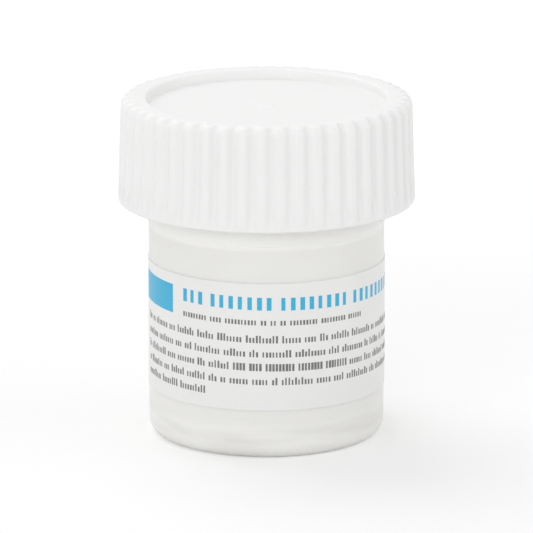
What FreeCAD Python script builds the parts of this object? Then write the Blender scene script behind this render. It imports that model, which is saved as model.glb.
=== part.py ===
import FreeCAD, Part
import math
import os
import re
import Sketcher

# Specimen jar with a screw cap, about half full of fixative.
# Millimetres. +Z is up, the jar's axis is the Z axis and the jar stands on Z = 0.
# The front, which the label faces, is -Y.

V = FreeCAD.Vector
doc = FreeCAD.newDocument("SpecimenJar")

# Driving sizes, one cell each
sizes = {
    # Container: straight wall, floor and standing ring
    "bodyRadius": 15.0,
    "wallThick": 1.1,
    "floorThick": 1.2,
    "standRadius": 11.6,
    "pushUp": 0.5,
    "footRound": 1.8,
    "floorRound": 1.2,
    # Container: low collar below the cap, and the ledge inside it where the wall thickens
    "straightTall": 27.7,
    "collarOut": 0.12,
    "collarTall": 2.2,
    "collarRound": 0.1,
    "ledgeTall": 0.6,
    # Container: neck and its thread
    "neckIn": 0.5,
    "neckWall": 1.2,
    "lipRound": 0.3,
    "threadPitch": 4.233,
    "threadTurns": 1.25,
    "threadDeep": 1.5,
    "threadRoot": 2.2,
    "threadCrest": 1.0,
    "threadSink": 0.2,
    "threadBelow": 1.5,
    "threadAbove": 1.3,
    # Cap: skirt, ribs, rim and sunk panel
    "skirtGap": 0.5,
    "capWall": 1.4,
    "capTaper": 0.4,
    "panelThick": 1.3,
    "panelDeep": 1.2,
    "rimWide": 3.2,
    "shoulderRound": 1.0,
    "rimRound": 0.35,
    "panelDraft": 0.2,
    "mouthBevel": 0.4,
    "ribCount": 48,
    "ribDeep": 0.55,
    "ribCutRadius": 0.68,
    "ribRunOut": 1.25,
    "ribBend": 0.9,
    "ribSlant": 45.0,
    "ribRise": 1.4,
    "bandTall": 1.7,
    # Cap: inner thread and the small bead that keeps the liner in
    "threadClear": 0.55,
    "threadPlay": 0.2,
    "capTurns": 1.1,
    "capThreadFoot": 0.5,
    "keeperOut": 0.3,
    "keeperTall": 0.8,
    "keeperGap": 0.2,
    # Foam liner
    "linerThick": 1.0,
    "linerClear": 0.2,
    # Label
    "labelThick": 0.1,
    "labelBelow": 6.5,
    "labelAbove": 4.7,
    "labelOpen": 24.0,
    "labelCorner": 1.5,
    # Liquid
    "fillHeight": 18.0,
    "liquidClear": 0.05,
}

# What follows from the sizes. Heights of the container are above the surface it stands on, and
# heights of the cap are above the lower edge of its skirt.
follows = {
    "boreRadius": "bodyRadius - wallThick",
    "collarRadius": "bodyRadius + collarOut",
    "neckRadius": "bodyRadius - neckIn",
    "neckBore": "neckRadius - neckWall",
    "floorHeight": "pushUp + floorThick",
    "collarTop": "straightTall + collarTall",
    "threadStart": "collarTop + threadBelow + threadRoot / 2",
    "threadRise": "threadTurns * threadPitch",
    "lipHeight": "threadStart + threadRise + threadRoot / 2 + threadAbove",
    "skirtHeight": "collarTop + skirtGap",
    "capBore": "neckRadius + threadDeep + threadClear",
    "capRadius": "capBore + capWall + ribDeep",
    "skirtRadius": "capRadius + capTaper",
    "panelUnder": "lipHeight + linerThick - skirtHeight",
    "panelTop": "panelUnder + panelThick",
    "capTall": "panelTop + panelDeep",
    "panelRadius": "capRadius - rimWide",
    "cutterRadius": "capRadius + ribCutRadius - ribDeep",
    "cutterTurn": "bandTall + ribRunOut",
    "turnRadius": "cutterRadius + capTaper * (1 - cutterTurn / capTall)",
    "cutterBend": "capTall - ribBend",
    "bendRadius": "cutterRadius + capTaper * (1 - cutterBend / capTall)",
    "keeperRadius": "capBore - keeperOut",
    "keeperTop": "panelUnder - linerThick - keeperGap",
    "keeperFoot": "keeperTop - keeperTall",
    "capThreadStart": "capThreadFoot + threadRoot / 2",
    # The ridge inside the cap lies under the neck's ridge, with their flanks parallel
    "flankSlope": "(threadRoot - threadCrest) / 2 / threadDeep",
    "sunkHalf": "threadRoot / 2 + flankSlope * threadSink",
    "ridgeBehind": "(threadRoot + threadCrest) / 2 - flankSlope * threadClear + threadPlay",
    "capAngle": "360 * (skirtHeight + capThreadStart + ridgeBehind - threadStart) / threadPitch",
    "labelTall": "straightTall - labelBelow - labelAbove",
    "liquidRadius": "boreRadius - liquidClear",
    "liquidFoot": "floorHeight + liquidClear",
}

sheet = doc.addObject("Spreadsheet::Sheet", "Sizes")
for row, (name, size) in enumerate(sizes.items(), start=1):
    sheet.set("A%d" % row, name)
    sheet.set("B%d" % row, str(size))
    sheet.setAlias("B%d" % row, name)
doc.recompute()


# Turns a formula in words into an expression on the sheet's cells.
def expand(text):
    def swap(found):
        word = found.group()
        if word in sizes:
            return "Sizes." + word
        if word in follows:
            return "(" + expand(follows[word]) + ")"
        return word

    return re.sub(r"[A-Za-z]+", swap, text)


def bind(thing, prop, text):
    thing.setExpression(prop, expand(text))


def valueOf(text):
    return float(sheet.evalExpression(expand(text)))


def newBody(name):
    body = doc.addObject("PartDesign::Body", name)
    body.Label = name
    return body


# A sketch on one of the body's own origin planes.
def newSketch(body, name, role):
    plane = next(item for item in body.Origin.OriginFeatures if item.Role == role)
    sketch = body.newObject("Sketcher::SketchObject", name)
    sketch.AttachmentSupport = (plane, [""])
    sketch.MapMode = "FlatFace"
    return sketch


# Adds a dimension and binds it to its formula.
def hold(sketch, kind, *where, size):
    index = sketch.addConstraint(Sketcher.Constraint(kind, *where, valueOf(size)))
    bind(sketch, "Constraints[%d]" % index, size)


# Holds a point at a radius and a height. A zero puts it on the axis itself.
def holdPoint(sketch, line, end, radius, height):
    for kind, axis, size in (("DistanceX", -2, radius), ("DistanceY", -1, height)):
        if size == "0":
            sketch.addConstraint(Sketcher.Constraint("PointOnObject", line, end, axis))
        else:
            hold(sketch, kind, line, end, size=size)


# A closed outline in the XZ plane through (radius, height) corners.
def closedSection(body, name, corners):
    sketch = newSketch(body, name, "XZ_Plane")
    points = [V(valueOf(radius), valueOf(height), 0) for radius, height in corners]
    last = len(points) - 1
    for index, point in enumerate(points):
        after = 0 if index == last else index + 1
        sketch.addGeometry(Part.LineSegment(point, points[after]))
    for index in range(len(points)):
        after = 0 if index == last else index + 1
        sketch.addConstraint(Sketcher.Constraint("Coincident", index, 2, after, 1))
    for index, (radius, height) in enumerate(corners):
        holdPoint(sketch, index, 1, radius, height)
    return sketch


def revolve(body, name, corners):
    sketch = closedSection(body, name + "Section", corners)
    turned = body.newObject("PartDesign::Revolution", name)
    turned.Profile = sketch
    turned.ReferenceAxis = (sketch, ["V_Axis"])
    turned.Angle = 360
    doc.recompute()
    return turned


# Rounds the circular edges about the Z axis that pass through the given corners.
def roundRings(body, name, size, corners):
    base = body.Tip
    picked = []
    for radius, height in corners:
        across, up = valueOf(radius), valueOf(height)
        for index, edge in enumerate(base.Shape.Edges, start=1):
            curve = edge.Curve
            if curve.TypeId != "Part::GeomCircle":
                continue
            if abs(curve.Radius - across) < 1e-4 and abs(curve.Center.z - up) < 1e-4:
                picked.append("Edge%d" % index)
    rounded = body.newObject("PartDesign::Fillet", name)
    rounded.Base = (base, picked)
    bind(rounded, "Radius", size)
    doc.recompute()
    return rounded


# A trapezoid ridge wound up the Z axis, right-handed, from the +X side. Its root is sunk a little
# into the wall, so its flanks are drawn out to there.
def threadRidge(body, name, rootRadius, crestRadius, start, turns):
    inward = "-" if valueOf(rootRadius) < valueOf(crestRadius) else "+"
    sunkRadius = rootRadius + inward + "threadSink"
    corners = [
        (sunkRadius, start + " - sunkHalf"),
        (crestRadius, start + " - threadCrest / 2"),
        (crestRadius, start + " + threadCrest / 2"),
        (sunkRadius, start + " + sunkHalf"),
    ]
    sketch = closedSection(body, name + "Section", corners)
    ridge = body.newObject("PartDesign::AdditiveHelix", name)
    ridge.Profile = sketch
    ridge.ReferenceAxis = (sketch, ["V_Axis"])
    ridge.Mode = "pitch-turns-angle"
    bind(ridge, "Pitch", "threadPitch")
    bind(ridge, "Turns", turns)
    doc.recompute()
    return ridge


# The container: floor with a standing ring, straight wall, low collar, neck and thread.
def makeJar():
    body = newBody("jar")
    revolve(
        body,
        "jarWall",
        [
            ("0", "pushUp"),
            ("standRadius - pushUp", "pushUp"),
            ("standRadius", "0"),
            ("bodyRadius", "0"),
            ("bodyRadius", "straightTall"),
            ("collarRadius", "straightTall + collarOut"),
            ("collarRadius", "collarTop"),
            ("neckRadius", "collarTop"),
            ("neckRadius", "lipHeight"),
            ("neckBore", "lipHeight"),
            ("neckBore", "straightTall"),
            ("boreRadius", "straightTall - ledgeTall"),
            ("boreRadius", "floorHeight"),
            ("0", "floorHeight"),
        ],
    )
    roundRings(body, "jarFoot", "footRound", [("bodyRadius", "0")])
    roundRings(body, "jarFloorCorner", "floorRound", [("boreRadius", "floorHeight")])
    roundRings(body, "jarCollar", "collarRound", [("collarRadius", "collarTop")])
    roundRings(
        body, "jarLip", "lipRound", [("neckRadius", "lipHeight"), ("neckBore", "lipHeight")]
    )
    threadRidge(
        body, "jarThread", "neckRadius", "neckRadius + threadDeep", "threadStart", "threadTurns"
    )
    return body


# The liquid, which fills the bore and its rounded floor corner up to the fill height.
def makeFormalin():
    body = newBody("formalin")
    liquid = body.newObject("PartDesign::AdditiveCylinder", "liquid")
    bind(liquid, "Radius", "liquidRadius")
    bind(liquid, "Height", "fillHeight - liquidFoot")
    doc.recompute()
    roundRings(body, "liquidFoot", "floorRound - liquidClear", [("liquidRadius", "0")])
    bind(body, "Placement.Base.z", "liquidFoot")
    return body


# The label, a sheet round the straight wall with an open strip at the back.
def makeLabel():
    body = newBody("label")
    outside = body.newObject("PartDesign::AdditiveCylinder", "labelOutside")
    bind(outside, "Radius", "bodyRadius + labelThick")
    bind(outside, "Height", "labelTall")
    bind(outside, "Angle", "360 - labelOpen")
    inside = body.newObject("PartDesign::SubtractiveCylinder", "labelInside")
    bind(inside, "Radius", "bodyRadius")
    bind(inside, "Height", "labelTall")
    doc.recompute()
    # Only the four corner edges are as short as the sheet is thick
    thick = valueOf("labelThick")
    edges = enumerate(inside.Shape.Edges, start=1)
    corners = ["Edge%d" % index for index, edge in edges if abs(edge.Length - thick) < 1e-4]
    rounded = body.newObject("PartDesign::Fillet", "labelCorners")
    rounded.Base = (inside, corners)
    bind(rounded, "Radius", "labelCorner")
    body.Placement = FreeCAD.Placement(V(0, 0, 0), FreeCAD.Rotation(V(0, 0, 1), 90))
    bind(body, "Placement.Base.z", "labelBelow")
    bind(body, "Placement.Rotation.Angle", "90 + labelOpen / 2")
    return body


# The foam disc between the jar's lip and the cap's panel.
def makeLiner():
    liner = doc.addObject("Part::Cylinder", "cap_liner")
    liner.Label = "cap_liner"
    bind(liner, "Radius", "capBore - linerClear")
    bind(liner, "Height", "linerThick")
    bind(liner, "Placement.Base.z", "lipHeight")
    return liner


# Cuts one groove and repeats it round the cap, which leaves the ribs. The round cutter comes in
# over the smooth band, climbs the tapered side, bends over the shoulder and leaves at a slant
# above the rim.
def cutRibs(body):
    before = body.Tip.Shape.Volume
    path = newSketch(body, "ribPath", "XZ_Plane")
    foot = V(valueOf("turnRadius"), valueOf("cutterTurn"), 0)
    top = V(valueOf("bendRadius"), valueOf("cutterBend"), 0)
    reach, bend, rise = valueOf("ribRunOut"), valueOf("ribBend"), valueOf("ribRise")
    slant = math.radians(valueOf("ribSlant"))
    low = Part.Circle(foot + V(reach, 0, 0), V(0, 0, 1), reach)
    high = Part.Circle(top - V(bend, 0, 0), V(0, 0, 1), bend)
    over = top + V(bend * (math.cos(slant) - 1), bend * math.sin(slant), 0)
    path.addGeometry(Part.ArcOfCircle(low, math.pi, 1.5 * math.pi))
    path.addGeometry(Part.LineSegment(foot, top))
    path.addGeometry(Part.ArcOfCircle(high, 0, slant))
    path.addGeometry(Part.LineSegment(over, over + V(-rise * math.tan(slant), rise, 0)))
    path.addConstraint(Sketcher.Constraint("Tangent", 0, 1, 1, 1))
    path.addConstraint(Sketcher.Constraint("Tangent", 1, 2, 2, 1))
    path.addConstraint(Sketcher.Constraint("Tangent", 2, 2, 3, 1))
    path.addConstraint(Sketcher.Constraint("Vertical", 0, 2, 0, 3))
    turned = path.addConstraint(Sketcher.Constraint("Angle", 3, math.pi / 2 + slant))
    bind(path, "Constraints[%d]" % turned, "90 + ribSlant")
    hold(path, "Radius", 0, size="ribRunOut")
    holdPoint(path, 1, 1, "turnRadius", "cutterTurn")
    holdPoint(path, 1, 2, "bendRadius", "cutterBend")
    hold(path, "Radius", 2, size="ribBend")
    hold(path, "DistanceY", 3, 2, size="capTall + ribRise")

    # The cutter stands upright where the path begins, just outside the skirt
    cutter = newSketch(body, "ribCutter", "YZ_Plane")
    bind(cutter, "AttachmentOffset.Base.z", "turnRadius + ribRunOut")
    begin = "cutterTurn - ribRunOut * (1 - capTaper / capTall)"
    cutter.addGeometry(Part.Circle(V(0, valueOf(begin), 0), V(0, 0, 1), valueOf("ribCutRadius")))
    holdPoint(cutter, 0, 3, "0", begin)
    hold(cutter, "Radius", 0, size="ribCutRadius")

    groove = body.newObject("PartDesign::SubtractivePipe", "ribGroove")
    groove.Profile = cutter
    groove.Spine = path
    doc.recompute()
    once = before - groove.Shape.Volume

    pattern = body.newObject("PartDesign::PolarPattern", "ribs")
    pattern.Originals = [groove]
    pattern.Axis = (path, ["V_Axis"])
    pattern.Angle = 360
    bind(pattern, "Occurrences", "ribCount")
    body.Tip = pattern
    doc.recompute()
    everywhere = before - pattern.Shape.Volume
    print("groove %.4f mm3, all grooves %.4f mm3" % (once, everywhere))
    if once < 1 or everywhere < 0.9 * once * valueOf("ribCount"):
        raise RuntimeError("the rib grooves don't all cut")


# The screw cap: ribbed skirt, raised rim round a sunk panel, inner thread.
def makeCap():
    body = newBody("cap")
    revolve(
        body,
        "capShell",
        [
            ("skirtRadius", "0"),
            ("capRadius", "capTall"),
            ("panelRadius", "capTall"),
            ("panelRadius - panelDraft", "panelTop"),
            ("0", "panelTop"),
            ("0", "panelUnder"),
            ("capBore", "panelUnder"),
            ("capBore", "keeperTop"),
            ("keeperRadius", "keeperTop - keeperOut"),
            ("keeperRadius", "keeperFoot + keeperOut"),
            ("capBore", "keeperFoot"),
            ("capBore", "mouthBevel"),
            ("capBore + mouthBevel", "0"),
        ],
    )
    roundRings(body, "capShoulder", "shoulderRound", [("capRadius", "capTall")])
    roundRings(
        body,
        "capRim",
        "rimRound",
        [
            ("panelRadius", "capTall"),
            ("panelRadius - panelDraft", "panelTop"),
            ("skirtRadius", "0"),
        ],
    )
    cutRibs(body)
    threadRidge(
        body, "capThread", "capBore", "capBore - threadDeep", "capThreadStart", "capTurns"
    )
    body.Placement = FreeCAD.Placement(V(0, 0, 0), FreeCAD.Rotation(V(0, 0, 1), 90))
    bind(body, "Placement.Base.z", "skirtHeight")
    bind(body, "Placement.Rotation.Angle", "capAngle")
    return body


pieces = [makeJar(), makeFormalin(), makeLabel(), makeLiner(), makeCap()]
doc.recompute()

failed = [item.Label for item in doc.Objects if {"Invalid", "Error"} & set(item.State)]
failed += [piece.Label for piece in pieces if piece.Shape.isNull() or not piece.Shape.isValid()]
failed += [piece.Label for piece in pieces if len(piece.Shape.Solids) != 1]
if failed:
    raise RuntimeError("these came out wrong: " + ", ".join(failed))

os.makedirs("parts", exist_ok=True)
for piece in pieces:
    piece.Shape.exportStep("parts/" + piece.Label + ".step")
    box = piece.Shape.BoundBox
    print(
        "%-10s volume %9.2f mm3, radius %6.3f, height %6.3f to %6.3f"
        % (piece.Label, piece.Shape.Volume, box.XMax, box.ZMin, box.ZMax)
    )
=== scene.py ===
import math

import bpy
import numpy as np
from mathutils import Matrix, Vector


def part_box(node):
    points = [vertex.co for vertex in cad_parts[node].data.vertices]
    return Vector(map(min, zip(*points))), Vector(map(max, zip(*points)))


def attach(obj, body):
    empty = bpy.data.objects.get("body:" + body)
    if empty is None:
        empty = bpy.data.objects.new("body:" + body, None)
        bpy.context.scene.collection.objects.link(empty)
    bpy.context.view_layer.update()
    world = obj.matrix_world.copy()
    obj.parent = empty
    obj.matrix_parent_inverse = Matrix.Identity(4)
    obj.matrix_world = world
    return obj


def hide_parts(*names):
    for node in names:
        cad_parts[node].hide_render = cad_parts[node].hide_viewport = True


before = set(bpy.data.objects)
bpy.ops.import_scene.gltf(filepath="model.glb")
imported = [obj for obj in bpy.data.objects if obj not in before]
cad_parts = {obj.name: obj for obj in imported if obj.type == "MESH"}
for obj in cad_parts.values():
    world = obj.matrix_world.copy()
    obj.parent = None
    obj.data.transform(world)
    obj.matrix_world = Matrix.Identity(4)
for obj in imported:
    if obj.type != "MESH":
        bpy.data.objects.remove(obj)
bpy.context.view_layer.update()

# Specimen jar with a screw cap, dressed for rendering.
# Shapes are worked out in millimetres round the Z axis and put into meshes in metres.
# Angles run anticlockwise seen from above, from +X. The front, which the print faces, is -90 degrees.

mm = 0.001
frontAngle = -90.0
fullTurn = 2.0 * math.pi


# Lowest and highest corner of a node of the frame, in millimetres.
def nodeBox(node):
    low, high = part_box(node)
    return [c / mm for c in low], [c / mm for c in high]


# Eases from 0 to 1 as t goes from 0 to 1: 3 t squared less 2 t cubed.
def ease(t):
    t = np.clip(t, 0.0, 1.0)
    return t * t * (3.0 - 2.0 * t)


# The lesser of two lengths, blended over the width k where they cross.
def softLesser(a, b, k):
    h = np.clip(0.5 + 0.5 * (b - a) / k, 0.0, 1.0)
    return b + (a - b) * h - k * h * (1.0 - h)


# A line through (radius, height, rounding) corners. Each rounded corner becomes an arc that touches
# both of its sides, swung about the arc's centre from one side to the other.
def roundedLine(corners, steps=6):
    runs = []
    for index, (radius, height, rounding) in enumerate(corners):
        here = np.array([radius, height], float)
        if rounding == 0:
            runs.append(here[None])
            continue
        before = np.array(corners[index - 1][:2], float) - here
        after = np.array(corners[index + 1][:2], float) - here
        before /= np.linalg.norm(before)
        after /= np.linalg.norm(after)
        half = 0.5 * math.acos(np.clip(before @ after, -1.0, 1.0))
        middle = (before + after) / np.linalg.norm(before + after)
        centre = here + middle * rounding / math.sin(half)
        first = here + before * rounding / math.tan(half) - centre
        last = here + after * rounding / math.tan(half) - centre
        swing = math.pi - 2.0 * half
        t = np.linspace(0.0, 1.0, steps + 1)[:, None]
        arc = np.sin((1.0 - t) * swing) * first + np.sin(t * swing) * last
        runs.append(centre + arc / math.sin(swing))
    return np.concatenate(runs)


# Divides the runs of a line evenly, so that none is longer than the step that longest gives for the
# run's middle.
def divided(line, longest):
    run = np.diff(line, axis=0)
    length = np.hypot(run[:, 0], run[:, 1])
    count = np.maximum(1, np.ceil(length / longest(line[:-1] + run / 2))).astype(int)
    start = np.repeat(line[:-1], count, axis=0)
    part = np.repeat(run / count[:, None], count, axis=0)
    order = np.arange(count.sum()) - np.repeat(np.cumsum(count) - count, count)
    return np.concatenate([start + part * order[:, None], line[-1:]])


# Puts points and faces into a mesh object, smooth except across sharp corners.
def newPiece(name, points, faces, sharpAngle=38.0):
    mesh = bpy.data.meshes.new(name)
    mesh.from_pydata((np.asarray(points) * mm).tolist(), [], faces)
    mesh.update()
    mesh.shade_smooth()
    mesh.set_sharp_from_angle(angle=math.radians(sharpAngle))
    piece = bpy.data.objects.new(name, mesh)
    bpy.context.collection.objects.link(piece)
    return piece


# A closed shell round the Z axis: x = radius cos(angle), y = radius sin(angle), z = height. Radius
# and height have one row for each ring and one column for each angle, and the first and last rows
# are single points on the axis.
def turnedPiece(name, radius, height, angles, sharpAngle=38.0):
    rows, columns = radius.shape
    ring = np.stack(
        [
            radius * np.cos(angles)[None],
            radius * np.sin(angles)[None],
            np.broadcast_to(height, radius.shape),
        ],
        axis=-1,
    )
    points = np.concatenate([ring[0, :1], ring[1:-1].reshape(-1, 3), ring[-1, :1]])
    here = np.arange(columns)
    after = (here + 1) % columns
    start = 1 + columns * np.arange(rows - 3)[:, None]
    quads = np.stack(
        [start + here, start + after, start + columns + after, start + columns + here], axis=-1
    ).reshape(-1, 4)
    lastRing = 1 + columns * (rows - 3)
    foot = np.stack([here * 0, 1 + after, 1 + here], axis=-1)
    crown = np.stack([lastRing + here, lastRing + after, here * 0 + len(points) - 1], axis=-1)
    faces = quads.tolist() + foot.tolist() + crown.tolist()
    return newPiece(name, points, faces, sharpAngle)


# A turned piece that is the same all round: its outline carried round the axis.
def plainTurned(name, outline, columns, sharpAngle=38.0):
    angles = np.linspace(0.0, fullTurn, columns, endpoint=False)
    radius = np.repeat(outline[:, :1], columns, axis=1)
    return turnedPiece(name, radius, outline[:, 1:], angles, sharpAngle)


# Thin closed patches, one for each entry. Outer and inner hold patches x columns x rows x 3 points,
# with columns running anticlockwise and rows upwards, and the edges are closed between the two.
def thinPatches(name, outer, inner, sharpAngle=38.0):
    patches, columns, rows = outer.shape[:3]
    front = np.arange(columns * rows).reshape(columns, rows)
    back = front + columns * rows

    def quads(a, b, c, d):
        return np.stack([a, b, c, d], axis=-1).reshape(-1, 4)

    faces = np.concatenate(
        [
            quads(front[:-1, :-1], front[1:, :-1], front[1:, 1:], front[:-1, 1:]),
            quads(back[:-1, :-1], back[:-1, 1:], back[1:, 1:], back[1:, :-1]),
            quads(front[:-1, 0], back[:-1, 0], back[1:, 0], front[1:, 0]),
            quads(front[:-1, -1], front[1:, -1], back[1:, -1], back[:-1, -1]),
            quads(front[0, :-1], front[0, 1:], back[0, 1:], back[0, :-1]),
            quads(front[-1, :-1], back[-1, :-1], back[-1, 1:], front[-1, 1:]),
        ]
    )
    every = faces[None] + 2 * columns * rows * np.arange(patches)[:, None, None]
    points = np.stack([outer.reshape(patches, -1, 3), inner.reshape(patches, -1, 3)], axis=1)
    return newPiece(name, points.reshape(-1, 3), every.reshape(-1, 4).tolist(), sharpAngle)


# Points on a cylinder of one radius, from angles in degrees and heights.
def onCylinder(radius, degrees, height):
    angle, height = np.broadcast_arrays(np.radians(degrees), height)
    return np.stack([radius * np.cos(angle), radius * np.sin(angle), height], axis=-1)


# How far a screw thread's ridge stands out at each height and angle, as a share of its full depth.
# For every turn it takes the distance to the ridge's middle, eases up the flank, and eases the
# ridge in and out over its two ends.
def threadRidge(angles, height, thread):
    beginAngle = math.radians(thread["threadBegin"])
    runOut = math.radians(thread["threadRunOut"])
    flankWide = (thread["threadRoot"] - thread["threadCrest"]) / 2.0
    total = np.zeros(np.broadcast_shapes((1, len(angles)), height.shape))
    local = np.mod(angles - beginAngle, fullTurn)
    for turn in range(int(math.ceil(thread["threadTurns"])) + 1):
        wound = local + fullTurn * turn
        middle = thread["threadStart"] + thread["threadPitch"] * wound / fullTurn
        flank = (thread["threadRoot"] / 2.0 - np.abs(height - middle[None])) / flankWide
        left = fullTurn * thread["threadTurns"] - wound
        ends = ease(wound / runOut) * ease(left / runOut)
        total = np.maximum(total, ease(flank) * ends[None])
    return total


# Materials

def newMaterial(name):
    material = bpy.data.materials.new(name)
    material.use_nodes = True
    nodes, links = material.node_tree.nodes, material.node_tree.links
    return material, nodes, links, nodes["Principled BSDF"]


# Sets sockets of one node, each under the name that it shows in Blender.
def setInputs(node, values):
    for socket, value in values.items():
        node.inputs[socket].default_value = value


def mathNode(nodes, operation, values):
    node = nodes.new("ShaderNodeMath")
    node.operation = operation
    for index, value in values.items():
        node.inputs[index].default_value = value
    return node


def noiseNode(nodes, values):
    noise = nodes.new("ShaderNodeTexNoise")
    setInputs(noise, values)
    return noise


# Node group for moulded surfaces. A broad, faint cloud changes the shade, and a fine grain gives
# the roughness its variation and the surface its height.
def makeMouldedGrain():
    group = bpy.data.node_groups.new("mouldedGrain", "ShaderNodeTree")
    takes = ("Shade Change", "Cloud Scale", "Grain Scale", "Roughness", "Roughness Change")
    gives = ("Roughness", "Height")
    for side, numbers in (("INPUT", takes), ("OUTPUT", gives)):
        group.interface.new_socket(name="Colour", in_out=side, socket_type="NodeSocketColor")
        for name in numbers:
            group.interface.new_socket(name=name, in_out=side, socket_type="NodeSocketFloat")
    nodes, links = group.nodes, group.links
    given = nodes.new("NodeGroupInput")
    result = nodes.new("NodeGroupOutput")
    place = nodes.new("ShaderNodeTexCoord")

    cloud = noiseNode(nodes, {"Detail": 3.0})
    grain = noiseNode(nodes, {"Detail": 4.0, "Roughness": 0.6})
    for noise, scale in ((cloud, "Cloud Scale"), (grain, "Grain Scale")):
        links.new(place.outputs["Object"], noise.inputs["Vector"])
        links.new(given.outputs[scale], noise.inputs["Scale"])

    # Shade = colour x (1 + change x (cloud - half))
    centred = mathNode(nodes, "SUBTRACT", {1: 0.5})
    links.new(cloud.outputs["Fac"], centred.inputs[0])
    swing = mathNode(nodes, "MULTIPLY_ADD", {2: 1.0})
    links.new(centred.outputs[0], swing.inputs[0])
    links.new(given.outputs["Shade Change"], swing.inputs[1])
    shade = nodes.new("ShaderNodeVectorMath")
    shade.operation = "SCALE"
    links.new(given.outputs["Colour"], shade.inputs[0])
    links.new(swing.outputs[0], shade.inputs["Scale"])
    links.new(shade.outputs[0], result.inputs["Colour"])

    # Roughness = base + change x (grain - half)
    grainCentred = mathNode(nodes, "SUBTRACT", {1: 0.5})
    links.new(grain.outputs["Fac"], grainCentred.inputs[0])
    rough = mathNode(nodes, "MULTIPLY_ADD", {})
    links.new(grainCentred.outputs[0], rough.inputs[0])
    links.new(given.outputs["Roughness Change"], rough.inputs[1])
    links.new(given.outputs["Roughness"], rough.inputs[2])
    links.new(rough.outputs[0], result.inputs["Roughness"])
    links.new(grain.outputs["Fac"], result.inputs["Height"])
    return group


mouldedGrain = makeMouldedGrain()


# A moulded material: the grain group drives colour, roughness and a small bump.
def mouldedMaterial(name, look):
    material, nodes, links, shader = newMaterial(name)
    grain = nodes.new("ShaderNodeGroup")
    grain.name = "grain"
    grain.node_tree = mouldedGrain
    setInputs(
        grain,
        {
            "Colour": (*look["colour"], 1.0),
            "Shade Change": look["shadeChange"],
            "Cloud Scale": look["cloudScale"],
            "Grain Scale": look["grainScale"],
            "Roughness": look["roughness"],
            "Roughness Change": look["roughnessChange"],
        },
    )
    bump = nodes.new("ShaderNodeBump")
    setInputs(bump, {"Strength": look["bumpStrength"], "Distance": look["bumpDistance"]})
    links.new(grain.outputs["Height"], bump.inputs["Height"])
    links.new(grain.outputs["Colour"], shader.inputs["Base Color"])
    links.new(grain.outputs["Roughness"], shader.inputs["Roughness"])
    links.new(bump.outputs["Normal"], shader.inputs["Normal"])
    setInputs(shader, look["plain"])
    return material


def finishPiece(piece, material, body, slot, *nodes):
    piece.data.materials.append(material)
    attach(piece, body)
    if nodes:
        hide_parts(*nodes)
    print("made", piece.name, len(piece.data.polygons), "faces")
    return piece


# Container

jarLip = nodeBox("jar")[1][2]
jar = {
    "bodyRadius": 15.0,
    "wall": 1.1,
    "standRadius": 11.6,
    "pushUp": 0.5,
    "footRound": 1.8,
    "floorTop": 1.7,
    "floorRound": 1.2,
    "straightTop": 27.7,
    "collarOut": 0.12,
    "collarTop": 29.9,
    "ledgeTall": 0.6,
    "neckRadius": 14.5,
    "neckBore": 13.3,
    "lip": jarLip,
    "lipRound": 0.3,
    "threadBegin": 0.0,
    "threadStart": 32.5,
    "threadPitch": 4.233,
    "threadTurns": 1.25,
    "threadDeep": 1.5,
    "threadRoot": 2.3,
    "threadCrest": 0.9,
    "threadRunOut": 25.0,
    "gateRadius": 0.7,
    "gateTall": 0.25,
    "columns": 256,
    "rowOnNeck": 0.13,
    "rowElsewhere": 1.5,
}
jarLook = {
    "colour": (0.925, 0.918, 0.887),
    "shadeChange": 0.05,
    "cloudScale": 160.0,
    "grainScale": 2600.0,
    "roughness": 0.36,
    "roughnessChange": 0.12,
    "bumpStrength": 0.12,
    "bumpDistance": 0.00004,
    "plain": {
        "IOR": 1.49,
        "Transmission Weight": 0.1,
        "Subsurface Weight": 0.3,
        "Subsurface Radius": (1.0, 1.0, 0.9),
        "Subsurface Scale": 0.0012,
    },
    # Painted light: lifts the wall from the neck ledge up, against the shade under the cap
    "collarPaintedLight": 0.12,
    "collarLightFrom": 26.9,
    "collarLightTo": 27.5,
    # Painted streaks above the floor, standing in for light refracted through the base
    "paintedStreakChange": 0.42,
    "paintedStreakScale": 80.0,
    "paintedStreakFlat": 6.0,
    "paintedStreakFrom": 2.6,
    "paintedStreakTo": 6.0,
}


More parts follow.
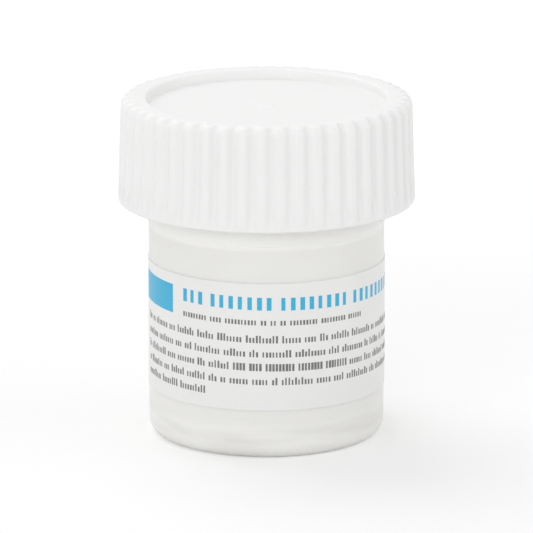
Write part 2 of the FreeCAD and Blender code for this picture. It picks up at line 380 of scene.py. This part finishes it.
# The jar's outline runs from the middle of its underside, up the outside, over the lip and down
# the bore to the middle of its floor. Its radius on the neck grows by the thread's ridge.
def makeJar():
    bore = jar["bodyRadius"] - jar["wall"]
    collar = jar["bodyRadius"] + jar["collarOut"]
    gateSlope = 0.15
    outline = roundedLine(
        [
            (0.0, jar["pushUp"] - jar["gateTall"], 0),
            (jar["gateRadius"], jar["pushUp"] - jar["gateTall"], 0.1),
            (jar["gateRadius"] + gateSlope, jar["pushUp"], 0.1),
            (jar["standRadius"] - jar["pushUp"], jar["pushUp"], 0.15),
            (jar["standRadius"], 0.0, 0.12),
            (jar["bodyRadius"], 0.0, jar["footRound"]),
            (jar["bodyRadius"], jar["straightTop"], 0.05),
            (collar, jar["straightTop"] + jar["collarOut"], 0.05),
            (collar, jar["collarTop"], 0.1),
            (jar["neckRadius"], jar["collarTop"], 0.1),
            (jar["neckRadius"], jar["lip"], jar["lipRound"]),
            (jar["neckBore"], jar["lip"], jar["lipRound"]),
            (jar["neckBore"], jar["straightTop"], 0.4),
            (bore, jar["straightTop"] - jar["ledgeTall"], 0.4),
            (bore, jar["floorTop"], jar["floorRound"]),
            (0.0, jar["floorTop"], 0),
        ]
    )
    neckMiddle = (jar["neckRadius"] + jar["neckBore"]) / 2.0

    # Rows lie close together where the thread winds round the outside of the neck
    def longest(middle):
        onNeck = (middle[:, 0] > neckMiddle) & (middle[:, 1] > jar["collarTop"])
        return np.where(onNeck, jar["rowOnNeck"], jar["rowElsewhere"])

    outline = divided(outline, longest)
    angles = np.linspace(0.0, fullTurn, jar["columns"], endpoint=False)
    height = outline[:, 1:]
    outside = (outline[:, :1] > jar["neckRadius"] - jar["lipRound"]) & (height > jar["collarTop"])
    ridge = threadRidge(angles, height, jar)
    radius = outline[:, :1] + np.where(outside, ridge * jar["threadDeep"], 0.0)
    return turnedPiece("jarShell", radius, height, angles)


# Milky plastic. The wall from the neck ledge up is painted lighter: painted light that lifts the
# shade the cap casts there and stands in for the glow of the thicker wall. Flat painted streaks just
# above the floor stand in for light refracted through the base. Shade = grain's colour x (1 + collar
# painted light + painted streak x its fade).
def jarMaterial():
    material = mouldedMaterial("milkyJarPlastic", jarLook)
    nodes, links = material.node_tree.nodes, material.node_tree.links
    grain, shader = nodes["grain"], nodes["Principled BSDF"]
    place = nodes.new("ShaderNodeTexCoord")
    apart = nodes.new("ShaderNodeSeparateXYZ")
    links.new(place.outputs["Object"], apart.inputs[0])

    # Painted light: the wall from the neck ledge up is drawn lighter, against the shade the cap casts
    # on it
    collar = nodes.new("ShaderNodeMapRange")
    collar.interpolation_type = "SMOOTHSTEP"
    setInputs(
        collar,
        {
            "From Min": jarLook["collarLightFrom"] * mm,
            "From Max": jarLook["collarLightTo"] * mm,
            "To Min": 1.0,
            "To Max": 1.0 + jarLook["collarPaintedLight"],
        },
    )
    links.new(apart.outputs["Z"], collar.inputs["Value"])

    # Painted streaks: flat noise that darkens and lightens the wall just above the floor, in place of
    # light refracted through the base
    flat = nodes.new("ShaderNodeMapping")
    flat.inputs["Scale"].default_value = (1.0, 1.0, jarLook["paintedStreakFlat"])
    links.new(place.outputs["Object"], flat.inputs["Vector"])
    paintedStreak = noiseNode(nodes, {"Scale": jarLook["paintedStreakScale"], "Detail": 2.0})
    links.new(flat.outputs["Vector"], paintedStreak.inputs["Vector"])
    centred = mathNode(nodes, "SUBTRACT", {1: 0.5})
    links.new(paintedStreak.outputs["Fac"], centred.inputs[0])
    paintedStreakFade = nodes.new("ShaderNodeMapRange")
    paintedStreakFade.interpolation_type = "SMOOTHSTEP"
    setInputs(
        paintedStreakFade,
        {
            "From Min": jarLook["paintedStreakFrom"] * mm,
            "From Max": jarLook["paintedStreakTo"] * mm,
            "To Min": jarLook["paintedStreakChange"],
            "To Max": 0.0,
        },
    )
    links.new(apart.outputs["Z"], paintedStreakFade.inputs["Value"])
    total = mathNode(nodes, "MULTIPLY_ADD", {})
    links.new(centred.outputs[0], total.inputs[0])
    links.new(paintedStreakFade.outputs["Result"], total.inputs[1])
    links.new(collar.outputs["Result"], total.inputs[2])
    shade = nodes.new("ShaderNodeVectorMath")
    shade.operation = "SCALE"
    links.new(grain.outputs["Colour"], shade.inputs[0])
    links.new(total.outputs[0], shade.inputs["Scale"])
    links.new(shade.outputs[0], shader.inputs["Base Color"])
    return material


finishPiece(makeJar(), jarMaterial(), "container", "jar", "jar")

# Liquid

liquidLow, liquidHigh = nodeBox("formalin")
liquid = {
    "radius": 13.85,
    "foot": liquidLow[2],
    "footRound": 1.15,
    "top": liquidHigh[2],
    "meniscusRise": 0.7,
    "meniscusReach": 1.3,
    "meniscusEase": 1.6,
    "columns": 128,
}
liquidLook = {
    "darker": (0.93, 0.965, 0.985, 1.0),
    "lighter": (0.97, 0.985, 0.99, 1.0),
    "hazeScale": 90.0,
    "plain": {"Roughness": 0.02, "IOR": 1.34, "Transmission Weight": 1.0},
}


# The liquid's outline goes round the bore's floor corner, and its flat surface climbs the wall in
# an exponential curve of the distance from it.
def makeLiquid():
    wallTop = liquid["top"] + liquid["meniscusRise"]
    share = np.linspace(0.0, 1.0, 12)[1:, None] ** liquid["meniscusEase"]
    away = 6.0 * liquid["meniscusReach"] * share
    rise = liquid["meniscusRise"] * np.exp(-liquid["meniscusEase"] * away / liquid["meniscusReach"])
    base = roundedLine(
        [
            (0.0, liquid["foot"], 0),
            (liquid["radius"], liquid["foot"], liquid["footRound"]),
            (liquid["radius"], wallTop, 0),
        ],
        steps=8,
    )
    surface = np.concatenate([liquid["radius"] - away, liquid["top"] + rise], axis=1)
    outline = np.concatenate([base, surface, [[0.0, liquid["top"]]]])
    outline = divided(outline, lambda middle: np.full(len(middle), 2.0))
    return plainTurned("liquidFill", outline, liquid["columns"], sharpAngle=60.0)


def liquidMaterial():
    material, nodes, links, shader = newMaterial("clearFixative")
    place = nodes.new("ShaderNodeTexCoord")
    haze = noiseNode(nodes, {"Scale": liquidLook["hazeScale"], "Detail": 2.0})
    links.new(place.outputs["Object"], haze.inputs["Vector"])
    tint = nodes.new("ShaderNodeValToRGB")
    tint.color_ramp.elements[0].color = liquidLook["darker"]
    tint.color_ramp.elements[1].color = liquidLook["lighter"]
    links.new(haze.outputs["Fac"], tint.inputs["Fac"])
    links.new(tint.outputs["Color"], shader.inputs["Base Color"])
    setInputs(shader, liquidLook["plain"])
    return material


finishPiece(makeLiquid(), liquidMaterial(), "container", "formalin", "formalin")

# Cap

capLow, capHigh = nodeBox("cap")
cap = {
    "foot": capLow[2],
    "tall": capHigh[2] - capLow[2],
    "topRadius": 18.5,
    "skirtRadius": 18.9,
    "shoulderRound": 1.0,
    "rimInner": 15.3,
    "panelRadius": 15.1,
    "panelDeep": 1.2,
    "panelThick": 1.3,
    "bore": 16.55,
    "keeperRadius": 16.25,
    "keeperBelow": 1.2,
    "keeperTall": 0.8,
    "mouthBevel": 0.4,
    "edgeRound": 0.35,
    "turnedBy": 91.85,
    "ribCount": 48,
    "ribDeep": 0.55,
    "ribCutRadius": 0.68,
    "ribRunOut": 1.25,
    "ribBend": 0.9,
    "bandTall": 1.7,
    "ribSoft": 0.12,
    "threadBegin": 91.85,
    "threadStart": 1.6,
    "threadPitch": 4.233,
    "threadTurns": 1.1,
    "threadDeep": 1.5,
    "threadRoot": 2.3,
    "threadCrest": 0.9,
    "threadRunOut": 25.0,
    "gateRadius": 0.9,
    "gateTall": 0.12,
    "columnsPerRib": 14,
    "rowOnThread": 0.19,
    "rowAtRunOut": 0.16,
    "rowAtShoulder": 0.2,
    "rowElsewhere": 3.0,
}
capLook = {
    "colour": (0.875, 0.875, 0.87),
    "shadeChange": 0.02,
    "cloudScale": 120.0,
    "grainScale": 3200.0,
    "roughness": 0.42,
    "roughnessChange": 0.14,
    "bumpStrength": 0.15,
    "bumpDistance": 0.00004,
    "plain": {
        "IOR": 1.5,
        "Subsurface Weight": 0.15,
        "Subsurface Radius": (1.0, 1.0, 0.95),
        "Subsurface Scale": 0.0008,
    },
}


# How far from the axis a groove's floor lies at each height. The round cutter comes in on an arc
# above the smooth band, climbs parallel to the tapered side, bends in over the shoulder on a second
# arc and leaves at 45 degrees. Aside from the groove's middle, its inner face is the path moved in
# by half the chord of the cutter's circle there.
def grooveFloor(height, aside):
    taper = (cap["skirtRadius"] - cap["topRadius"]) / cap["tall"]
    half = np.sqrt(np.clip(cap["ribCutRadius"] ** 2 - aside**2, 0.0, None))

    def pathRadius(at):
        return cap["skirtRadius"] - taper * at + cap["ribCutRadius"] - cap["ribDeep"]

    turn = cap["bandTall"] + cap["ribRunOut"]
    down = np.clip(turn - height, 0.0, None)
    lowReach = cap["ribRunOut"] + half
    lowCentre = pathRadius(turn) + cap["ribRunOut"]
    lowArc = lowCentre - np.sqrt(np.clip(lowReach**2 - down**2, 0.0, None))

    bend = cap["tall"] - cap["ribBend"]
    above = np.clip(height - bend, 0.0, None)
    highReach = cap["ribBend"] - half
    highArc = np.sqrt(np.clip(highReach**2 - above**2, 0.0, None))
    slant = highReach * math.sqrt(2.0) - above
    onArc = above < highReach * math.sin(math.pi / 4.0)
    overShoulder = pathRadius(bend) - cap["ribBend"] + np.where(onArc, highArc, slant)

    floor = np.where(height < turn, lowArc, pathRadius(height) - half)
    floor = np.where(height > bend, overShoulder, floor)
    cuts = (np.abs(aside) < cap["ribCutRadius"]) & (lowReach > down)
    return np.where(cuts, floor, 2.0 * cap["skirtRadius"])


# The cap's outline starts at the middle of the panel's underside, goes down the inside, out under
# the skirt, up the ribbed side and over the rim, and ends at the middle of the sunk panel. The
# grooves take away from the radius of its side, and the thread from the radius of its bore.
def makeCap():
    edge = cap["edgeRound"]
    panelTop = cap["tall"] - cap["panelDeep"]
    panelUnder = panelTop - cap["panelThick"]
    keeperTop = panelUnder - cap["keeperBelow"]
    keeperFoot = keeperTop - cap["keeperTall"]
    bead = cap["bore"] - cap["keeperRadius"]
    gateTop = panelTop + cap["gateTall"]
    outline = roundedLine(
        [
            (0.0, panelUnder, 0),
            (cap["bore"], panelUnder, 0.15),
            (cap["bore"], keeperTop, 0.08),
            (cap["keeperRadius"], keeperTop - bead, 0.1),
            (cap["keeperRadius"], keeperFoot + bead, 0.1),
            (cap["bore"], keeperFoot, 0.08),
            (cap["bore"], cap["mouthBevel"], 0.15),
            (cap["bore"] + cap["mouthBevel"], 0.0, 0.12),
            (cap["skirtRadius"], 0.0, edge),
            (cap["topRadius"], cap["tall"], cap["shoulderRound"]),
            (cap["rimInner"], cap["tall"], edge),
            (cap["panelRadius"], panelTop, edge),
            (cap["gateRadius"] + 0.4, panelTop, 0.12),
            (cap["gateRadius"], gateTop, 0.1),
            (0.0, gateTop, 0),
        ],
        steps=5,
    )
    sideFrom = cap["bore"] + cap["ribCutRadius"]

    # Rows lie close together on the inner thread, where the grooves run out and at the shoulder
    def longest(middle):
        radius, height = middle[:, 0], middle[:, 1]
        outside = radius > sideFrom
        onThread = ~outside & (radius > cap["keeperRadius"]) & (height < keeperFoot)
        runOut = outside & (np.abs(height - cap["bandTall"] - 0.45) < 0.95)
        atShoulder = outside & (height > cap["tall"] - cap["shoulderRound"] - 0.2)
        step = np.where(onThread, cap["rowOnThread"], cap["rowElsewhere"])
        step = np.where(runOut, cap["rowAtRunOut"], step)
        return np.where(atShoulder, cap["rowAtShoulder"], step)

    outline = divided(outline, longest)
    # Columns lie closer together in the grooves than along the ribs' crests
    share = (np.arange(cap["columnsPerRib"]) + 0.5) / cap["columnsPerRib"] - 0.5
    share = share - 0.055 * np.sin(2.0 * fullTurn * share)
    step = fullTurn / cap["ribCount"]
    angles = (np.arange(cap["ribCount"])[:, None] + share[None]).reshape(-1) * step
    angles = angles + math.radians(cap["turnedBy"])
    radius = np.repeat(outline[:, :1], len(angles), axis=1)
    height = outline[:, 1:]

    aside = radius * np.sin(np.tile(share * step, cap["ribCount"]))[None]
    onSide = (radius > sideFrom) & (height > cap["bandTall"] - 0.3)
    grooved = np.minimum(radius, softLesser(radius, grooveFloor(height, aside), cap["ribSoft"]))
    onThread = (np.abs(outline[:, :1] - cap["bore"]) < cap["mouthBevel"]) & (height < keeperFoot)
    ridge = threadRidge(angles, height, cap)
    radius = np.where(onSide, grooved, radius)
    radius = radius - np.where(onThread, ridge * cap["threadDeep"], 0.0)
    return turnedPiece("ribbedCap", radius, height + cap["foot"], angles)


capPlastic = mouldedMaterial("whiteCapPlastic", capLook)
finishPiece(makeCap(), capPlastic, "screw_cap", "cap", "cap")

# Liner

linerLow, linerHigh = nodeBox("cap_liner")
liner = {
    "radius": 16.35,
    "under": linerLow[2],
    "top": linerHigh[2],
    "edgeRound": 0.2,
    "pressedIn": 0.05,
    "pressedFrom": jar["neckBore"],
    "pressedTo": jar["neckRadius"],
    "columns": 160,
}
linerLook = {
    "colour": (0.80, 0.80, 0.78),
    "shadeChange": 0.12,
    "cloudScale": 900.0,
    "grainScale": 2400.0,
    "roughness": 0.72,
    "roughnessChange": 0.25,
    "bumpStrength": 0.7,
    "bumpDistance": 0.0001,
    "plain": {
        "IOR": 1.45,
        "Subsurface Weight": 0.3,
        "Subsurface Radius": (1.0, 1.0, 0.95),
        "Subsurface Scale": 0.001,
    },
}


# The foam disc's outline, with the shallow ring that the jar's lip has pressed into its underside.
def makeLiner():
    under, top = liner["under"], liner["top"]
    pressed = under + liner["pressedIn"]
    soft = 0.3
    outline = roundedLine(
        [
            (0.0, under, 0),
            (liner["pressedFrom"] - soft, under, soft),
            (liner["pressedFrom"], pressed, soft),
            (liner["pressedTo"], pressed, soft),
            (liner["pressedTo"] + soft, under, soft),
            (liner["radius"], under, liner["edgeRound"]),
            (liner["radius"], top, liner["edgeRound"]),
            (0.0, top, 0),
        ]
    )
    outline = divided(outline, lambda middle: np.full(len(middle), 2.5))
    return plainTurned("foamLiner", outline, liner["columns"])


foam = mouldedMaterial("closedCellFoam", linerLook)
finishPiece(makeLiner(), foam, "liner", "cap_liner", "cap_liner")

# Label

labelLow, labelHigh = nodeBox("label")
label = {
    "radius": jar["bodyRadius"],
    "thick": 0.1,
    "foot": labelLow[2],
    "top": labelHigh[2],
    "openAngle": 24.0,
    "corner": 1.5,
    "columns": 200,
    "cornerColumns": 25,
    "rows": 6,
}
labelLook = {
    "darker": (0.815, 0.816, 0.806, 1.0),
    "lighter": (0.855, 0.856, 0.846, 1.0),
    "cloudScale": 220.0,
    "toothScale": 5200.0,
    "smooth": 0.34,
    "rough": 0.48,
    "bumpStrength": 0.1,
    "bumpDistance": 0.00002,
}


# A thin sheet round the jar. Near each end it gets less tall by the corner's circle: by the radius
# less the root of its square less the square of the distance into the corner.
def makeLabel():
    wrap = 360.0 - label["openAngle"]
    corner = label["corner"]
    cornerShare = corner / math.radians(wrap) / label["radius"]
    near = 0.5 - 0.5 * np.cos(np.linspace(0.0, math.pi, label["cornerColumns"]))
    near = near * cornerShare * 2.0
    even = np.linspace(0.0, 1.0, label["columns"])
    spread = np.unique(np.concatenate([even, near, 1.0 - near]).round(7))
    fromEnd = np.minimum(spread, 1.0 - spread) / cornerShare * corner
    inCorner = np.clip(corner - fromEnd, 0.0, None)
    drop = corner - np.sqrt(np.clip(corner**2 - inCorner**2, 0.0, None))
    low, high = label["foot"] + drop, label["top"] - drop
    share = np.linspace(0.0, 1.0, label["rows"])[None]
    height = low[:, None] * (1.0 - share) + high[:, None] * share
    degrees = (frontAngle + 180.0 + label["openAngle"] / 2.0 + wrap * spread)[:, None]
    outer = onCylinder(label["radius"] + label["thick"], degrees, height)[None]
    inner = onCylinder(label["radius"], degrees, height)[None]
    return thinPatches("wrapLabel", outer, inner)


# Satin film: a cloudy shade, and a faint tooth that varies the roughness and lifts the surface.
def labelMaterial():
    material, nodes, links, shader = newMaterial("labelFilm")
    place = nodes.new("ShaderNodeTexCoord")
    tooth = noiseNode(nodes, {"Scale": labelLook["toothScale"], "Detail": 3.0})
    cloud = noiseNode(nodes, {"Scale": labelLook["cloudScale"]})
    for noise in (tooth, cloud):
        links.new(place.outputs["Object"], noise.inputs["Vector"])
    shade = nodes.new("ShaderNodeValToRGB")
    shade.color_ramp.elements[0].color = labelLook["darker"]
    shade.color_ramp.elements[1].color = labelLook["lighter"]
    links.new(cloud.outputs["Fac"], shade.inputs["Fac"])
    links.new(shade.outputs["Color"], shader.inputs["Base Color"])
    rough = nodes.new("ShaderNodeMapRange")
    setInputs(rough, {"To Min": labelLook["smooth"], "To Max": labelLook["rough"]})
    links.new(tooth.outputs["Fac"], rough.inputs["Value"])
    links.new(rough.outputs["Result"], shader.inputs["Roughness"])
    bump = nodes.new("ShaderNodeBump")
    setInputs(bump, {"Strength": labelLook["bumpStrength"], "Distance": labelLook["bumpDistance"]})
    links.new(tooth.outputs["Fac"], bump.inputs["Height"])
    links.new(bump.outputs["Normal"], shader.inputs["Normal"])
    return material


finishPiece(makeLabel(), labelMaterial(), "container", "label", "label")

# Print. Plain bars stand where words would be, and angles are degrees from the label's front.

ink = {
    "sunk": 0.004,
    "proud": 0.012,
    "seed": 41,
    "slope": -0.0045,
    "speckleScale": 7000.0,
    "smooth": 0.3,
    "rough": 0.5,
}
blueLook = {"full": (0.028, 0.42, 0.68), "thin": (0.07, 0.5, 0.73)}
greyLook = {"full": (0.15, 0.145, 0.145), "thin": (0.25, 0.24, 0.24)}
blueBlock = {"from": -84.0, "to": -51.5, "foot": 17.6, "top": 21.3}
headline = {
    "words": (3, 7, 8, 8, 5),
    "start": -44.0,
    "end": 150.0,
    "foot": 19.55,
    "tall": 1.65,
    "low": 1.65,
    "tallShare": 1.0,
    "letter": 2.1,
    "vary": 0.14,
    "gap": 2.55,
    "wordGap": 2.3,
}
smallPrint = {
    "feet": (15.3, 13.45, 11.65, 9.85),
    "start": -78.0,
    "end": 118.0,
    "tall": 0.95,
    "low": 0.66,
    "tallShare": 0.3,
    "letter": 0.85,
    "vary": 0.2,
    "gap": 0.75,
    "wordGap": 1.5,
    "lastFoot": 8.1,
    "lastEnd": -44.0,
}
boldWords = {"row": 2, "from": -15.5, "to": 37.5, "wider": 1.25}
subLine = {**smallPrint, "start": -44.0, "end": 47.0, "foot": 17.6, "tall": 0.62, "low": 0.62}
formLines = {"from": -164.0, "to": -104.0, "feet": (19.4, 16.4, 13.4, 10.4), "tall": 0.14}


# Bars on the label, each from one angle to another and from one height to another, a little proud
# of the film. All four are arrays with one entry for each bar.
def makeBars(name, bars, columns=3):
    first, last, foot, top = (np.asarray(part, float)[:, None, None] for part in bars)
    across = np.linspace(0.0, 1.0, columns)[None, :, None]
    up = np.array([0.0, 1.0])[None, None]
    degrees = frontAngle + first * (1.0 - across) + last * across
    height = foot * (1.0 - up) + top * up + ink["slope"] * (degrees - frontAngle)
    face = label["radius"] + label["thick"]
    outer = onCylinder(face + ink["proud"], degrees, height)
    inner = onCylinder(face - ink["sunk"], degrees, height)
    return thinPatches(name, outer, inner)


# A row of plain upright bars in word groups. Widths vary a little, and some bars are taller.
def wordBars(random, style, start, end, foot, words=None):
    bars = []
    at = start
    wordCount = 0
    while at < end and not (words and wordCount == len(words)):
        letters = words[wordCount] if words else int(random.integers(2, 11))
        for _ in range(letters):
            wide = style["letter"] * random.uniform(1.0 - style["vary"], 1.0 + style["vary"])
            isTall = random.random() < style["tallShare"]
            bars.append((at, at + wide, foot, foot + style["tall" if isTall else "low"]))
            at += style["letter"] + style["gap"]
        at += style["wordGap"]
        wordCount += 1
    return np.array(bars)


# Ink that is a little thinner where the film's tooth shows through.
def inkMaterial(name, look):
    material, nodes, links, shader = newMaterial(name)
    place = nodes.new("ShaderNodeTexCoord")
    speckle = noiseNode(nodes, {"Scale": ink["speckleScale"], "Detail": 2.0})
    links.new(place.outputs["Object"], speckle.inputs["Vector"])
    cover = nodes.new("ShaderNodeValToRGB")
    cover.color_ramp.elements[0].position = 0.3
    cover.color_ramp.elements[0].color = (*look["thin"], 1.0)
    cover.color_ramp.elements[1].position = 0.5
    cover.color_ramp.elements[1].color = (*look["full"], 1.0)
    links.new(speckle.outputs["Fac"], cover.inputs["Fac"])
    links.new(cover.outputs["Color"], shader.inputs["Base Color"])
    rough = nodes.new("ShaderNodeMapRange")
    setInputs(rough, {"To Min": ink["smooth"], "To Max": ink["rough"]})
    links.new(speckle.outputs["Fac"], rough.inputs["Value"])
    links.new(rough.outputs["Result"], shader.inputs["Roughness"])
    return material


random = np.random.default_rng(ink["seed"])
blueInk = inkMaterial("cyanInk", blueLook)
greyInk = inkMaterial("greyInk", greyLook)

blockBar = [[blueBlock[part]] for part in ("from", "to", "foot", "top")]
finishPiece(makeBars("blueBlock", blockBar, columns=36), blueInk, "container", "label")
headBars = wordBars(
    random, headline, headline["start"], headline["end"], headline["foot"], headline["words"]
)
finishPiece(makeBars("headlineBars", headBars.T), blueInk, "container", "label")

rows = [
    wordBars(random, smallPrint, smallPrint["start"], smallPrint["end"], foot)
    for foot in smallPrint["feet"]
]
bold = rows[boldWords["row"]]
isBold = (bold[:, 0] > boldWords["from"]) & (bold[:, 0] < boldWords["to"])
bold[isBold, 1] = bold[isBold, 0] + boldWords["wider"] * (bold[isBold, 1] - bold[isBold, 0])
bold[isBold, 3] = bold[isBold, 2] + smallPrint["tall"]
rows.append(
    wordBars(random, smallPrint, smallPrint["start"], smallPrint["lastEnd"], smallPrint["lastFoot"])
)
rows.append(wordBars(random, subLine, subLine["start"], subLine["end"], subLine["foot"]))
finishPiece(makeBars("smallPrintBars", np.concatenate(rows).T), greyInk, "container", "label")

lines = [
    (formLines["from"], formLines["to"], foot, foot + formLines["tall"])
    for foot in formLines["feet"]
]
finishPiece(makeBars("formLines", np.array(lines).T, columns=60), greyInk, "container", "label")

# Floor, light and camera

studio = {
    "floorHalf": 3.0,
    "floorColour": 0.82,
    "floorGlow": 0.18,
    # Painted light on the floor close round the jar's foot, lifting its contact shadow
    "footPaintedLight": 0.16,
    "footLightFrom": 0.0135,
    "footLightTo": 0.0162,
    "farGlow": 0.65,
    "nearRadius": 0.05,
    "farRadius": 0.6,
    "worldStrength": 0.74,
    "lampSize": 1.1,
    "keyPlace": (-0.5, 0.65, 1.15),
    "keyPower": 5.0,
    "frontPlace": (-0.6, -1.3, 0.38),
    "frontPower": 5.7,
    "fillPlace": (1.2, -0.3, 0.3),
    "fillPower": 2.6,
    "aim": (0.0, 0.0, 0.0214),
    "elevation": 14.4,
    "distance": 0.843,
    "lens": 446.0,
    "sensor": 36.0,
}


# One where a surface is seen directly, through glass or in a reflection, and zero where it only
# lights the object.
def seenFrom(nodes, links):
    path = nodes.new("ShaderNodeLightPath")
    seen = path.outputs["Is Camera Ray"]
    for name in ("Is Glossy Ray", "Is Transmission Ray"):
        either = mathNode(nodes, "MAXIMUM", {})
        links.new(seen, either.inputs[0])
        links.new(path.outputs[name], either.inputs[1])
        seen = either.outputs[0]
    return seen


# A wide flat floor. Where it is seen it glows a little, and more with the distance from the jar, so
# that it merges into the white background where nothing shades it. Close under the jar's foot it
# glows with painted light, which lifts the jar's contact shadow in place of light through the jar.
def makeFloor():
    half = studio["floorHalf"] / mm
    corners = [(-half, -half, 0.0), (half, -half, 0.0), (half, half, 0.0), (-half, half, 0.0)]
    floor = newPiece("studioFloor", corners, [(0, 1, 2, 3)])
    material = bpy.data.materials.new("paleFloor")
    material.use_nodes = True
    nodes, links = material.node_tree.nodes, material.node_tree.links
    nodes.clear()
    output = nodes.new("ShaderNodeOutputMaterial")
    diffuse = nodes.new("ShaderNodeBsdfDiffuse")
    diffuse.inputs["Color"].default_value = (*[studio["floorColour"]] * 3, 1.0)
    place = nodes.new("ShaderNodeTexCoord")
    away = nodes.new("ShaderNodeVectorMath")
    away.operation = "LENGTH"
    links.new(place.outputs["Object"], away.inputs[0])
    glowing = nodes.new("ShaderNodeMapRange")
    glowing.interpolation_type = "SMOOTHSTEP"
    setInputs(
        glowing,
        {
            "From Min": studio["nearRadius"],
            "From Max": studio["farRadius"],
            "To Min": studio["floorGlow"],
            "To Max": studio["farGlow"],
        },
    )
    links.new(away.outputs["Value"], glowing.inputs["Value"])
    # Painted light: the floor close round the foot glows, lifting the contact shadow there
    foot = nodes.new("ShaderNodeMapRange")
    foot.interpolation_type = "SMOOTHSTEP"
    setInputs(
        foot,
        {
            "From Min": studio["footLightFrom"],
            "From Max": studio["footLightTo"],
            "To Min": studio["footPaintedLight"],
            "To Max": 0.0,
        },
    )
    links.new(away.outputs["Value"], foot.inputs["Value"])
    glows = mathNode(nodes, "ADD", {})
    links.new(glowing.outputs["Result"], glows.inputs[0])
    links.new(foot.outputs["Result"], glows.inputs[1])
    strength = mathNode(nodes, "MULTIPLY", {})
    links.new(seenFrom(nodes, links), strength.inputs[0])
    links.new(glows.outputs[0], strength.inputs[1])
    glow = nodes.new("ShaderNodeEmission")
    links.new(strength.outputs[0], glow.inputs["Strength"])
    both = nodes.new("ShaderNodeAddShader")
    links.new(diffuse.outputs[0], both.inputs[0])
    links.new(glow.outputs[0], both.inputs[1])
    links.new(both.outputs[0], output.inputs["Surface"])
    floor.data.materials.append(material)


# A plain world: white where it is seen, and a softer light on the object.
def makeWorld():
    world = bpy.data.worlds.new("studioWorld")
    bpy.context.scene.world = world
    world.use_nodes = True
    nodes, links = world.node_tree.nodes, world.node_tree.links
    background = nodes["Background"]
    background.inputs["Color"].default_value = (1.0, 1.0, 1.0, 1.0)
    strength = nodes.new("ShaderNodeMapRange")
    setInputs(strength, {"To Min": studio["worldStrength"], "To Max": 1.0})
    links.new(seenFrom(nodes, links), strength.inputs["Value"])
    links.new(strength.outputs["Result"], background.inputs["Strength"])


def makeLamp(name, place, power):
    light = bpy.data.lights.new(name, "AREA")
    light.size = studio["lampSize"]
    light.energy = power
    lamp = bpy.data.objects.new(name, light)
    lamp.location = place
    towards = Vector(studio["aim"]) - Vector(place)
    lamp.rotation_euler = towards.to_track_quat("-Z", "Y").to_euler()
    bpy.context.collection.objects.link(lamp)


def makeCamera():
    data = bpy.data.cameras.new("photoCamera")
    data.lens = studio["lens"]
    data.sensor_width = studio["sensor"]
    data.clip_start = 0.01
    camera = bpy.data.objects.new("photoCamera", data)
    tilt = math.radians(studio["elevation"])
    back = Vector((0.0, -math.cos(tilt), math.sin(tilt))) * studio["distance"]
    camera.location = Vector(studio["aim"]) + back
    camera.rotation_euler = (math.radians(90.0) - tilt, 0.0, 0.0)
    bpy.context.collection.objects.link(camera)
    bpy.context.scene.camera = camera


makeFloor()
makeWorld()
makeLamp("keyLight", studio["keyPlace"], studio["keyPower"])
makeLamp("frontLight", studio["frontPlace"], studio["frontPower"])
makeLamp("fillLight", studio["fillPlace"], studio["fillPower"])
makeCamera()
bpy.context.scene.view_settings.view_transform = "Standard"
print("studio ready")
